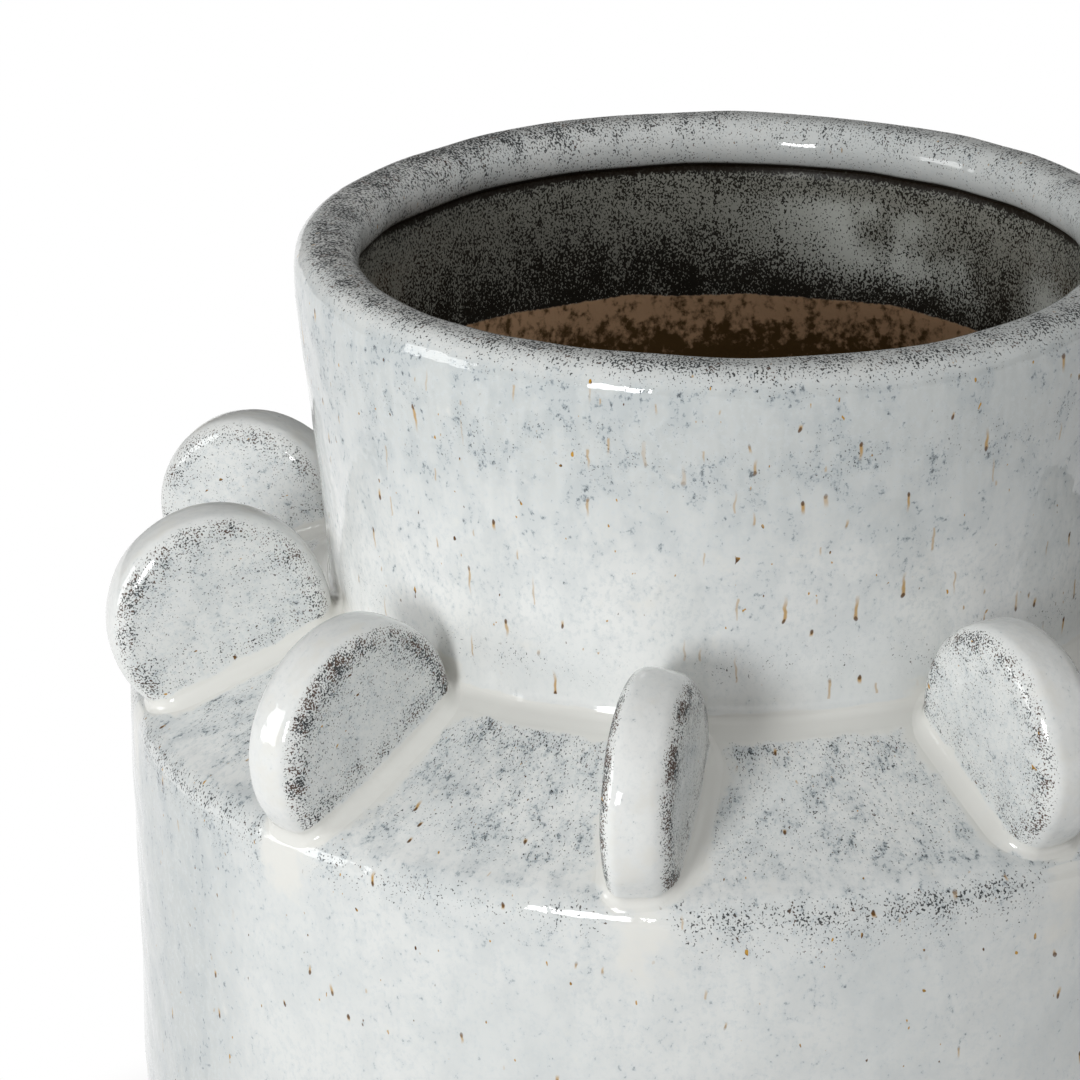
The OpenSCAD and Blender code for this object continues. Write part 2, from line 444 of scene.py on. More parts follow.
flatSkin = spun(outlineRows)
skin = handBuilt(flatSkin)
rowSteps = unit(skin[1:] - skin[:-1])
alongRow = np.concatenate((rowSteps[:1], rowSteps[1:] + rowSteps[:-1], rowSteps[-1:]))
alongSeg = np.roll(skin, -1, 1) - np.roll(skin, 1, 1)
nextFlat = np.roll(flatSkin, -1, 1)
alongSeg[0], alongSeg[-1] = nextFlat[1] - flatSkin[1], nextFlat[-2] - flatSkin[-2]
skinNormals = unit(np.cross(alongSeg, alongRow))

# Coats say how the glaze lies on each piece: millimetres along the surface, degrees, and shares from 0 to 1
# A pair of tuples holds places and the shares at them, and a pair of numbers is where a fade starts and ends
outlineR, outlineZ = outlineRows.T
azimuth = np.degrees(np.arctan2(np.cos(segAngle), -np.sin(segAngle))) % 360
mapNames = {
    "glazeMap": ("grain", "pool", "inside", "speck"),
    "toneMap": ("brown", "pale", "grey", "drips"),
}


# Nearest fin to each point, and how far the point lies to the side of that fin's middle
def finNearness(points):
    farAway = 1e3
    near = np.full(points.shape[:-1], farAway)
    across = np.full(points.shape[:-1], farAway)
    for shape in finShapes:
        x, y, z = np.moveaxis(points @ shape["turn"], -1, 0)
        near = np.minimum(near, finDistance(shape, x, y, z))
        across = np.minimum(across, np.where(x > 0, np.abs(y), farAway))
    return near, across


def put(lay, rows, **shares):
    for name, share in shares.items():
        lay[name][rows] = share[:, None] if np.ndim(share) == 1 else share


# How grainy the rim is, round its section (degrees up from the outside) and round the vase (degrees from -Y)
rimGrain = {
    "section": (-40, 0, 25, 45, 60, 78, 90, 120, 150, 185),
    "front": (9, (0.03, 0.05, 0.10, 0.27, 0.52, 0.66, 0.63, 0.46, 0.34, 0.20)),
    "frontRight": (59, (0.04, 0.06, 0.14, 0.44, 0.74, 0.80, 0.66, 0.46, 0.32, 0.16)),
    "backRight": (144, (0.05, 0.18, 0.44, 0.78, 0.82, 0.66, 0.52, 0.40, 0.26, 0.10)),
    "back": (189, (0.05, 0.28, 0.64, 0.92, 0.94, 0.84, 0.72, 0.56, 0.40, 0.18)),
    "backLeft": (234, (0.10, 0.28, 0.60, 0.94, 1.00, 0.98, 0.92, 0.80, 0.64, 0.42)),
    "left": (281, (0.03, 0.05, 0.07, 0.18, 0.44, 0.76, 0.80, 0.74, 0.62, 0.44)),
}
rimCoat = {
    "lowSide": (5, 45),  # the rim's outer side goes over into the neck's glaze
    "speck": 0.28, "drips": 0.7,
    # the rim's glaze is greyed all round but kept whiter on the left side: glaze tone, and partly painted
    # light on the left
    "grey": 0.95, "paintedLitAt": 270, "paintedLitWide": 70,
    # the lip's underside turns brown: brown glaze, and painted shadow under the overhang
    "inside": (218, 230), "brown": (216, 228),
}


def coatRim(lay):
    v, c = vase, rimCoat
    k = spanRows["rimOut"]
    r, z = outlineR[k], outlineZ[k]
    outer = r > v["rimR"] - v["rimW"] / 2
    middle = np.where(outer, v["rimR"] - v["rimRound"], v["rimR"] - v["rimW"] + v["rimRound"])
    turn = np.degrees(np.arctan2(z - (v["totalH"] - v["rimRound"]), r - middle))
    turn = np.where(~outer & (turn < 0), turn + 360, turn)
    turn = np.where(outer & (turn < 0), rimGrain["section"][0], turn)
    places = [item for name, item in rimGrain.items() if name != "section"]
    byPlace = np.array([np.interp(turn, rimGrain["section"], shares) for _, shares in places])
    for n, row in enumerate(k):
        lay["grain"][row] = np.interp(azimuth, [place for place, _ in places], byPlace[:, n], period=360)
    lowSide = np.where(outer, fall(c["lowSide"], turn), 0)
    # Whiter round the left of the rim: partly painted light
    fromPaintedLit = (azimuth - c["paintedLitAt"] + 180) % 360 - 180
    ground = c["grey"] * (1 - np.exp(-(fromPaintedLit / c["paintedLitWide"]) ** 2))
    onLip = np.where(outer, 0, turn)
    put(
        lay, k, speck=c["speck"] + (1 - c["speck"]) * lowSide, drips=c["drips"] * lowSide,
        grey=ground + (neckCoat["grey"] - ground) * lowSide[:, None],
        inside=rise(c["inside"], onLip), brown=rise(c["brown"], onLip),
    )


neckCoat = {
    # the neck is greyest under the rim: thinner glaze there, and partly painted shade of the flared top
    "grey": 1.42, "greyFade": (2, 52),  # greyest under the rim
    "footGrain": ((0, 4, 8, 14, 22), (0, 0.05, 0.08, 0.04, 0)),
    "topGrain": ((0, 8, 16, 26), (0.06, 0.08, 0.05, 0)),
    "speck": ((0, 12, 30, 60), (0.12, 0.28, 0.6, 1.0)),
}


def coatNeck(lay):
    c = neckCoat
    k = spanRows["neckOut"]
    above = outlinePath[k] - outlinePath[k[0]]
    below = outlinePath[k[-1]] - outlinePath[k]
    grain = np.maximum(np.interp(above, *c["footGrain"]), np.interp(below, *c["topGrain"]))
    # greyer towards the rim: thinner glaze, and partly painted shade
    grey = c["grey"] * fall(c["greyFade"], below)
    put(lay, k, grain=grain, grey=grey, speck=np.interp(above, *c["speck"]), drips=1)


creaseCoat = {"pool": 1.5, "poolFade": (0.35, 0.75), "speck": 0.12}


def coatCrease(lay):
    c = creaseCoat
    k = spanRows["coilOut"]
    up = (outlinePath[k] - outlinePath[k[0]]) / (outlinePath[k[-1]] - outlinePath[k[0]])
    put(lay, k, pool=c["pool"] * fall(c["poolFade"], up), speck=c["speck"] * up)


shoulderCoat = {
    "edgeGrain": ((0, 14, 32, 46, 60), (0.45, 0.75, 0.70, 0.30, 0.08)),
    "edgeRound": ((285, 322, 332, 357, 6, 46, 70), (0.64, 0.58, 0.28, 0.28, 0.66, 0.66, 0.46)),
    "edgeEnd": 0.5,
    "slopeGrain": ((2, 4, 6, 10, 16, 24, 36, 44), (0, 0.34, 0.42, 0.30, 0.20, 0.18, 0.18, 0.05)),
    "speck": ((0, 30, 66), (0.55, 0.65, 1.0)),
    "pool": 1.5, "poolFade": (1.1, 6.6),  # cream pool below the crease
    "grey": 0.5, "greyFade": (40, 66), "drips": 0.45,
}
edgeTurn = np.degrees(np.arctan2(outlineZ - edgeC[1], outlineR - edgeC[0]))[spanRows["shoulderOut"]]
edgeShare = np.interp(azimuth, *shoulderCoat["edgeRound"], period=360)


def coatShoulder(lay):
    c = shoulderCoat
    k = spanRows["shoulderOut"]
    toCrease = outlinePath[k[-1]] - outlinePath[k]
    edgeEndR = edgeC[0] + vase["edgeRound"] * math.sin(slopeAngle)
    upSlope = np.maximum(0, edgeEndR - outlineR[k]) / math.cos(slopeAngle)
    onEdge = np.where(upSlope > c["edgeEnd"], 0, np.interp(edgeTurn, *c["edgeGrain"]))
    onSlope = np.interp(toCrease, *c["slopeGrain"])
    put(
        lay, k, grain=np.maximum(onEdge[:, None] * edgeShare, onSlope[:, None]), drips=c["drips"],
        speck=np.interp(edgeTurn, *c["speck"]), pool=c["pool"] * fall(c["poolFade"], toCrease),
        grey=c["grey"] * fall(c["greyFade"], edgeTurn),
    )


bodyCoat = {
    "grain": ((0, 3, 8, 16), (0.45, 0.24, 0.08, 0)),
    "speck": ((0, 10, 30, 120), (0.6, 0.5, 0.35, 0.45)),
    "grey": 0.55, "drips": 0.4,
    # painted shade: the body's left side is greyer and more specked, where the light falls off
    "leftShadeFrom": (240, 280), "leftShadeTo": (306, 322), "leftShadeSpeck": 1.2, "leftShadeGrey": 1.3,
}


def coatBody(lay):
    c = bodyCoat
    k = spanRows["bodyOut"]
    under = outlinePath[k[-1]] - outlinePath[k]
    # Painted shade on the body's left side, where the light falls off
    leftShade = rise(c["leftShadeFrom"], azimuth) * fall(c["leftShadeTo"], azimuth)
    put(
        lay, k, grain=np.interp(under, *c["grain"])[:, None] * edgeShare, drips=c["drips"],
        speck=np.interp(under, *c["speck"])[:, None] * (1 + c["leftShadeSpeck"] * leftShade),
        grey=c["grey"] + c["leftShadeGrey"] * leftShade[None],
    )


finPools = {
    "lowZ": 150, "highZ": 300, "innerR": 90,  # where fins can touch the vessel
    "pool": (1.2, 8.5), "onBody": 0.6, "onNeck": 0.5, "bodyEdge": 6, "neckFoot": 5,
    "runWide": 8.0, "runFall": (6, 34), "runTop": 40,
    "runPool": 0.80, "runSpeck": 0.85, "runGrain": 0.9,
}


# Cream pools round the fins, and clean runs of glaze down the body below them
def coatRoundFins(lay):
    c = finPools
    touched = (outlineZ > c["lowZ"]) & (outlineZ < c["highZ"]) & (outlineR > c["innerR"])
    r, z = outlineR[touched], outlineZ[touched]
    near, _ = finNearness(flatSkin[touched])
    onBody = r > vase["bodyR"] - c["bodyEdge"]
    onNeck = (z > vase["creaseZ"] + c["neckFoot"]) & (r < vase["rimR"])
    tight = np.select((onBody, onNeck), (c["onBody"], c["onNeck"]), 1.0)[:, None]
    pooled = fall((c["pool"][0] * tight, c["pool"][1] * tight), near)
    lay["pool"][touched] = np.maximum(lay["pool"][touched], pooled)
    k = np.concatenate((spanRows["bodyOut"], spanRows["shoulderOut"][edgeTurn < c["runTop"]]))
    _, across = finNearness(flatSkin[k])
    drop = edgeC[1] + vase["edgeRound"] - outlineZ[k]
    run = np.exp(-(across / c["runWide"]) ** 2) * fall(c["runFall"], drop)[:, None]
    lay["pool"][k] = np.maximum(lay["pool"][k], c["runPool"] * run)
    lay["speck"][k] *= 1 - c["runSpeck"] * run
    lay["grain"][k] *= 1 - c["runGrain"] * run


insideCoat = {
    # the band just under the lip is browned: brown glaze, and painted shadow under the overhang
    "lipBrownShade": (-1.0, 3.4), "paleFrom": (4, 9), "paleTo": (20, 34),
    "palePatches": ((157, 18, 1.0), (115, 32, 0.95)),  # azimuth, width and share
}


def coatInside(lay):
    c = insideCoat
    for name in ("neckIn", "shoulderIn", "bodyIn", "floorCoilIn", "slabTop", "slabUnder"):
        put(lay, spanRows[name], inside=1)
    k = spanRows["neckIn"]
    lip = outlinePath[k] - outlinePath[k[0]]
    patches = sum(share * np.exp(-((azimuth - at) / wide) ** 2) for at, wide, share in c["palePatches"])
    pale = rise(c["paleFrom"], lip) * fall(c["paleTo"], lip)
    # Brown glaze and painted shadow in a band just under the lip
    put(lay, k, brown=fall(c["lipBrownShade"], lip), pale=pale[:, None] * patches)


patternLay = {"neckRadius": 95.0, "bodyRadius": 134.0, "flatShare": 0.6}


# The pattern is wound on two plain cylinders, so that it runs on over edges and seams
def windPattern():
    c = patternLay
    wound = np.full(len(outlineRows), c["neckRadius"])
    for name in ("slabUnder", "bodyOut", "shoulderOut", "bodyIn", "floorCoilIn", "slabTop"):
        wound[spanRows[name]] = c["bodyRadius"]
    flow = spun(np.stack((wound, outlinePath), 1))
    flat = outlineR < wound * c["flatShare"]
    flow[flat] = flatSkin[flat]
    return flow


def coatVessel():
    groups = mapNames.values()
    lay = {name: np.zeros(flatSkin.shape[:2]) for names in groups for name in names}
    for coat in (coatRim, coatNeck, coatCrease, coatShoulder, coatBody, coatRoundFins, coatInside):
        coat(lay)
    return [np.stack([lay[name] for name in names], -1) for names in groups] + [windPattern()]


skinLayers = coatVessel()
print("glaze laid out over", len(outlineRows), "rows")


# The vessel's own glaze at the nearest place on its outside
def skinSample(points):
    first, last = spanRows["bodyOut"][0], spanRows["neckOut"][-1]
    rows = outlineRows[first:last + 1]
    x, y, z = points.T
    p = np.stack((np.hypot(x, y), z), 1)
    near = np.clip(((p[:, None] - rows) ** 2).sum(-1).argmin(1), 1, len(rows) - 2)
    off, ahead, back = p - rows[near], rows[near + 1] - rows[near], rows[near] - rows[near - 1]
    at = first + near + np.clip((off * ahead).sum(1) / (ahead ** 2).sum(1), 0, 1)
    at = at + np.clip((off * back).sum(1) / (back ** 2).sum(1), -1, 0)
    turn = np.arctan2(y, x) / (2 * math.pi) * segCount % segCount
    row, seg = np.floor(at).astype(int), np.floor(turn).astype(int) % segCount
    rowShare, segShare = (at - row)[:, None], (turn - np.floor(turn))[:, None]
    nextRow, nextSeg = np.minimum(row + 1, len(outlineRows) - 1), (seg + 1) % segCount
    samples = []
    for grid in skinLayers:
        low = grid[row, seg] * (1 - segShare) + grid[row, nextSeg] * segShare
        high = grid[nextRow, seg] * (1 - segShare) + grid[nextRow, nextSeg] * segShare
        samples.append(low * (1 - rowShare) + high * rowShare)
    return samples


# The pattern goes on from the shoulder up over the fin
def finPattern(placed):
    start = spanRows["shoulderOut"][-1]
    top = outlinePath[start] + (outlineR[start] - vase["creaseR"]) / math.cos(slopeAngle)
    x, y, z = placed.T
    r = np.hypot(x, y)
    outR, upZ = r - vase["creaseR"], z - vase["creaseZ"]
    off = patternLay["bodyRadius"] + outR * math.sin(slopeAngle) + upZ * math.cos(slopeAngle)
    down = outR * math.cos(slopeAngle) - upZ * math.sin(slopeAngle)
    return np.stack((x / r * off, y / r * off, top - down), -1)


finCoat = {
    "flank": (40, 80),  # degrees from the band round the edge over to the flat flank
    "bandGrain": ((22, 42, 64, 90), (0, 0.80, 0.90, 0.70)),
    "inwardGrain": ((0, 1.2, 3, 6, 10), (1, 0.68, 0.46, 0.31, 0.21)),
    "footGrain": 0.5, "footFrom": (2.6, 4.4), "footTo": (6, 14),
    "flankPool": (1.8, 4.2), "bandPool": 0.34, "bandPoolTo": (5, 40),
    "speck": 0.15, "flankSpeck": 0.45, "grey": 0.36,
    "brownFrom": (5, 30), "brownTo": (60, 88),
    "blend": (0.4, 3.0),  # from the shoulder's glaze over to the fin's own
}


def coatFin(shape, local, placed):
    c = finCoat
    x, y, z = local.T
    qr, qy = finEdges(shape, x, y, z)
    turn = np.degrees(np.arctan2(np.maximum(qy, 0), np.maximum(qr, 0)))
    turn = np.where((qr <= 0) & (qy <= 0), 90, turn)
    above = vesselDistance(np.hypot(x, y), z)
    onFlank = rise(c["flank"], turn)
    edge = np.interp(turn, *c["bandGrain"]) * np.interp(np.maximum(0, -qr), *c["inwardGrain"])
    foot = onFlank * rise(c["footFrom"], above) * fall(c["footTo"], above)
    grain = np.maximum(edge, c["footGrain"] * foot) * shape["grain"]
    bandPool = c["bandPool"] * fall(c["bandPoolTo"], turn)
    pool = np.maximum(fall(c["flankPool"], above), bandPool)
    speck = c["speck"] + c["flankSpeck"] * onFlank
    brown = rise(c["brownFrom"], turn) * fall(c["brownTo"], turn)
    none = np.zeros_like(grain)
    own = (
        np.stack((grain, pool, none, speck), -1),
        np.stack((brown, none, c["grey"] * onFlank, none), -1),
        finPattern(placed),
    )
    share = rise(c["blend"], above)[:, None]
    return [low * (1 - share) + high * share for low, high in zip(skinSample(placed), own)]


def ringQuads(low, high):
    seg = np.arange(segCount)
    nextSeg = (seg + 1) % segCount
    return np.stack((low + seg, low + nextSeg, high + nextSeg, high + seg), 1)


def makeRing(name, section):
    rows, normals, smooth, maps = [], [], [], []
    for item in section:
        if isinstance(item, str):
            k = spanRows[item]
            rows += list(skin[k])
            normals += list(skinNormals[k])
            smooth += [True] * (len(k) - 1) + [False]
            maps += list(k)
        else:
            rows.append(handBuilt(spun([item]))[0])
            normals.append(np.zeros((segCount, 3)))
            smooth.append(False)
            maps.append(maps[-1])
    count = len(rows)
    verts, normals = np.concatenate(rows), np.concatenate(normals)
    quads = np.concatenate([ringQuads(i * segCount, (i + 1) % count * segCount) for i in range(count)])
    isSmooth = np.repeat(smooth, segCount)
    corners = verts[quads]
    flat = unit(np.cross(corners[:, 2] - corners[:, 0], corners[:, 3] - corners[:, 1]))
    loopNormals = np.where(isSmooth[:, None, None], normals[quads], flat[:, None, :]).reshape(-1, 3)
    layers = [grid[maps].reshape(-1, grid.shape[-1]) for grid in skinLayers]
    return makeMesh(name, verts, [quads], loopNormals, layers)


def makeSlab(name):
    under, over = spanRows["slabUnder"], spanRows["slabTop"]
    index = np.concatenate((under[1:], over[:-1]))
    middles = [under[0], over[-1]]
    count = len(index)
    verts = np.concatenate((skin[index].reshape(-1, 3), skin[middles, 0]))
    normals = np.concatenate((skinNormals[index].reshape(-1, 3), [(0, 0, -1.0)], [(0, 0, 1.0)]))
    seg = np.arange(segCount)
    nextSeg = (seg + 1) % segCount
    quads = np.concatenate([ringQuads(i * segCount, (i + 1) * segCount) for i in range(count - 1)])
    joint = np.repeat(np.arange(count - 1) == len(under) - 2, segCount)
    bottom, top = count * segCount, count * segCount + 1
    lowFan = np.stack((np.full(segCount, bottom), nextSeg, seg), 1)
    rim = (count - 1) * segCount
    topFan = np.stack((np.full(segCount, top), rim + seg, rim + nextSeg), 1)
    quadNormals = np.where(joint[:, None, None], np.array((0, 0, 1.0)), normals[quads]).reshape(-1, 3)
    fanNormals = normals[np.concatenate((lowFan, topFan))].reshape(-1, 3)
    loopNormals = np.concatenate((quadNormals, fanNormals))
    layers = []
    for grid in skinLayers:
        layers.append(np.concatenate((grid[index].reshape(-1, grid.shape[-1]), grid[middles, 0])))
    return makeMesh(name, verts, [quads, lowFan, topFan], loopNormals, layers)


crease = (vase["creaseR"], vase["creaseZ"])
hole = (vase["neckHoleR"], vase["creaseZ"])
floorCorner = (vase["footR"] - vase["wallT"], vase["floorT"])
ringSections = {
    "floorSeamCoil": ("floor_seam_coil", ["floorCoilIn", floorCorner]),
    "bodyWall": ("body_wall", ["bodyOut", "bodyIn", floorCorner]),
    "shoulderRing": ("shoulder_ring", ["shoulderOut", crease, hole, "shoulderIn"]),
    "neckSeamCoil": ("neck_seam_coil", ["coilOut", crease]),
    "neckCollar": ("neck_collar", ["neckOut", "neckIn", crease]),
    "rimCoil": ("rim_coil", ["rimOut"]),
}

pieces = {}
for pieceName, (nodeName, section) in ringSections.items():
    pieces[pieceName] = makeRing(pieceName, section)
    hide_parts(nodeName)
    print("ring", pieceName, len(pieces[pieceName].data.polygons), "faces")
pieces["floorSlab"] = makeSlab("floorSlab")
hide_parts("floor_slab")

for number, shape in enumerate(finShapes, 1):
    local, quads, normals = makeFinMesh(shape)
    turned = local @ shape["turn"].T
    normals = turnNormals(turned, normals @ shape["turn"].T)
    layers = coatFin(shape, local, turned)
    piece = makeMesh(f"fin{number:02d}", handBuilt(turned), [quads], normals[quads].reshape(-1, 3), layers)
    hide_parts(f"fin_{number:02d}", f"fin_seam_{number:02d}")
    pieces[piece.name] = piece
print("fins", len(finShapes), "with about", len(quads), "faces each")


# Short ways to add shader nodes
def feed(t, sockets, inputs):
    for key, value in inputs.items():
        if isinstance(value, bpy.types.NodeSocket):
            t.links.new(value, sockets[key])
        else:
            sockets[key].default_value = value


def addNode(t, kind, inputs=None, **settings):
    n = t.nodes.new("ShaderNode" + kind)
    for key, value in settings.items():
        setattr(n, key, value)
    feed(t, n.inputs, inputs or {})
    return n


def calc(t, operation, a, b=0.0, c=0.0, clamp=False):
    n = addNode(t, "Math", {0: a, 1: b, 2: c}, operation=operation, use_clamp=clamp)
    return n.outputs[0]


def scaled(t, value, gain, base, clamp=False):
    return calc(t, "MULTIPLY_ADD", value, gain, base, clamp)


def times(t, product, *others):
    for other in others:
        product = calc(t, "MULTIPLY", product, other)
    return product


def fade(t, value, low, high, start=0.0, end=1.0):
    ends = {"From Min": low, "From Max": high, "To Min": start, "To Max": end}
    n = addNode(t, "MapRange", {"Value": value, **ends}, interpolation_type="SMOOTHSTEP")
    return n.outputs["Result"]


def layOver(t, share, under, over):
    under, over = ((*c, 1) if isinstance(c, tuple) else c for c in (under, over))
    n = addNode(t, "Mix", {0: share, 6: under, 7: over}, data_type="RGBA", clamp_factor=True)
    return n.outputs[2]


def vectorCalc(t, operation, a, b=(0, 0, 0)):
    return addNode(t, "VectorMath", {0: a, 1: b}, operation=operation).outputs["Vector"]


def vectorDot(t, a, b):
    return addNode(t, "VectorMath", {0: a, 1: b}, operation="DOT_PRODUCT").outputs["Value"]


# The pattern drawn out along the wall: a smaller share of its height makes longer marks
def drawOut(t, flow, share):
    return vectorCalc(t, "MULTIPLY", flow, (1, 1, share))


def noiseAt(t, vector, length, detail=2.0, roughness=0.5):
    return addNode(t, "TexNoise", {
        "Vector": vector, "Scale": 1 / length, "Detail": detail, "Roughness": roughness,
    }).outputs[0]


grains = {"detail": 1.0, "roughness": 0.6, "gain": 0.28, "edge": (0.68, 0.74), "none": (0.02, 0.10)}


# Fine uneven grains, as dense as asked for at each place
def grainAt(t, vector, length, density):
    noise = noiseAt(t, vector, length, grains["detail"], grains["roughness"])
    over = scaled(t, density, grains["gain"], noise)
    return times(t, fade(t, over, *grains["edge"]), fade(t, density, *grains["none"]))


# Colours of glaze and clay, as seen under plain light
colours = {
    "white": (0.828, 0.832, 0.818), "cool": (0.660, 0.690, 0.697), "cream": (0.790, 0.780, 0.742),
    "flankGrey": (0.585, 0.608, 0.602), "haze": (0.420, 0.475, 0.510), "thin": (0.360, 0.385, 0.390),
    "spot": (0.230, 0.275, 0.310), "charcoal": (0.018, 0.020, 0.022), "rust": (0.060, 0.022, 0.008),
    "ochre": (0.500, 0.262, 0.020), "iron": (0.095, 0.036, 0.005),
    "innerGrey": (0.290, 0.287, 0.252), "innerDark": (0.012, 0.010, 0.007),
    # near-black under the lip: brown glaze, and painted shadow under the overhang
    "innerPale": (0.700, 0.718, 0.677), "underLipShade": (0.012, 0.007, 0.003),
    "clay": (0.620, 0.380, 0.220), "clayDark": (0.095, 0.046, 0.006),
}

clay = {
    "blotch": (3.4, 4.0, 0.62), "fine": (1.4, 2.0), "fineShare": 0.25, "dark": (0.48, 0.72),
    "floorDeep": -0.05, "roughness": 0.88, "bump": {"Strength": 0.5, "Distance": 0.0004},
}


def clayLook(t, flow, deep):
    blotch = noiseAt(t, flow, *clay["blotch"])
    fine = noiseAt(t, flow, *clay["fine"])
    amount = scaled(t, fine, clay["fineShare"], calc(t, "ADD", blotch, deep))
    return layOver(t, fade(t, amount, *clay["dark"]), colours["clay"], colours["clayDark"]), fine


# Iron drips: one in each cell, running up or down the wall, lengths in millimetres
drip = {
    "cell": 5.0, "tall": 12.0, "depth": (0.8, 0.64), "pick": (-0.02, 0.02), "upward": 0.35,
    "wobble": (3.0, 1.0), "sway": 1.4, "long": (1.2, 7.5), "wide": (0.30, 0.60),
    "side": (1.0, 0.35), "tail": (1.0, 0.35), "foot": (-0.4, 0.1), "strength": (0.0, 0.8, 0.50, 1.0),
    "headWide": 0.45, "headTall": 0.8, "head": (1.0, 0.3), "headPick": (0.25, 0.5),
}


def dripLook(t, flow, share):
    d = drip
    squeeze = d["cell"] / d["tall"]
    coords = drawOut(t, flow, squeeze)
    cells = addNode(t, "TexVoronoi", {"Vector": coords, "Scale": 1 / d["cell"]}).outputs
    pick = addNode(t, "SeparateColor", {"Color": cells["Color"]}).outputs
    offset = vectorCalc(t, "SUBTRACT", coords, cells["Position"])
    outward = vectorCalc(t, "NORMALIZE", drawOut(t, flow, 0))
    sideways = vectorCalc(t, "CROSS_PRODUCT", (0, 0, 1), outward)
    here = fade(t, calc(t, "ABSOLUTE", vectorDot(t, offset, outward)), *d["depth"])
    here = times(t, here, fade(t, calc(t, "SUBTRACT", share, pick[0]), *d["pick"]))
    wobble = calc(t, "SUBTRACT", noiseAt(t, flow, *d["wobble"]), 0.5)
    across = scaled(t, wobble, d["sway"], vectorDot(t, offset, sideways))
    height = calc(t, "MULTIPLY", vectorDot(t, offset, (0, 0, 1)), 1 / squeeze)
    along = times(t, height, calc(t, "SIGN", calc(t, "SUBTRACT", pick[2], d["upward"])))
    length = fade(t, pick[0], 0.0, 1.0, *d["long"])
    width = fade(t, pick[1], 0.0, 1.0, *d["wide"])
    thin = fade(t, calc(t, "DIVIDE", calc(t, "ABSOLUTE", across), width), *d["side"])
    tail = fade(t, calc(t, "DIVIDE", along, length), *d["tail"])
    foot = fade(t, along, *d["foot"])
    streak = times(t, thin, tail, foot, here, fade(t, pick[1], *d["strength"]))
    blobWide = calc(t, "POWER", calc(t, "DIVIDE", across, d["headWide"]), 2.0)
    blobTall = calc(t, "POWER", calc(t, "DIVIDE", along, d["headTall"]), 2.0)
    blob = fade(t, calc(t, "ADD", blobWide, blobTall), *d["head"])
    return streak, times(t, blob, here, fade(t, pick[1], *d["headPick"]))


# Noise in the glaze: length in millimetres, detail and roughness
glazeNoise = {
    "cluster": (7.0, 4.0, 0.60), "patch": (30.0, 3.0), "fine": (1.3, 2.0),
    "mottle": (1.4, 4.0, 0.66), "tint": (2.4, 1.0),
}
drawnNoise = {  # the same after a share of the height, for noise that is drawn out on its own
    "border": (1, 9.0, 4.0, 0.60), "streaks": (0.07, 2.6, 2.0), "flecks": (0.6, 1.5, 1.0),
    "lumps": (1, 7.0, 2.0), "pits": (1, 1.7, 2.0),
}


# What was laid out over the pieces, and the noise that goes with it
def readMaps(t, kind):
    flow = addNode(t, "Attribute", attribute_name="flow").outputs["Vector"]
    maps = {"flow": flow, "drawn": drawOut(t, flow, kind["stretch"])}
    for mapName, names in mapNames.items():
        read = addNode(t, "Attribute", attribute_name=mapName)
        parts = addNode(t, "SeparateColor", {"Color": read.outputs["Color"]}).outputs
        maps.update(zip(names, (*parts[:3], read.outputs["Alpha"])))
    for name, values in glazeNoise.items():
        maps[name] = noiseAt(t, maps["drawn"], *values)
    for name, (share, *values) in drawnNoise.items():
        maps[name] = noiseAt(t, drawOut(t, flow, share), *values)
    return maps


# Fades as (from, to) or (from, to, start, end), and shares
glaze = {
    "poolRagged": 2.2, "poolEdge": (0.25, 0.80), "pool": 0.90,
    "grainClumps": (0.38, 0.62, 0.45, 1.25), "speckClumps": (0.42, 0.62, 0.15, 1.30),
    "coolPatches": (0.42, 0.70, 0.0), "flank": 0.57, "flankStreaks": (0.30, 0.70, -0.08, 0.08),
    "milk": (0.46, 0.64, 0.0, 0.70), "milkBySpeck": (0.10, 0.45, 0.35, 1.0), "haze": 0.28, "thin": 0.07,
    "spotLevel": 0.70, "spotBySpeck": -0.11,
    "spots": (-0.04, 0.05, 0.0, 0.58), "hearts": (0.04, 0.11, 0.0, 0.62),
    "grain": 0.92, "rustWide": 0.10, "rustByBrown": 0.10,
    "flecks": (0.755, 0.79), "fleckBySpeck": (0.10, 0.40), "fleckTint": (0.45, 0.60),
    "streak": 0.85, "head": 0.92,
    "roughness": 0.04, "fineRough": 0.06, "grainRough": 0.16,
    "pits": 0.10, "grainBump": -0.05, "bumpByPool": (0.6, 1.4, 1.0, 0.1),
    "shine": 0.5, "grainShine": -0.38, "bump": {"Strength": 0.5, "Distance": 0.0006},
}
glazeKinds = {
    "vessel": {
        "name": "speckledGlaze", "stretch": 0.80, "grain": 0.47, "even": 0.8,
        "cool": 0.45, "rust": 0.59, "hasInside": True,
    },
    "fin": {
        "name": "finGlaze", "stretch": 0.95, "grain": 0.42, "even": 0.30,
        "cool": 0.15, "rust": 0.54, "hasInside": False,
    },
}


def layAll(t, colour, coats):
    for share, over in coats:
        colour = layOver(t, share, colour, over)
    return colour


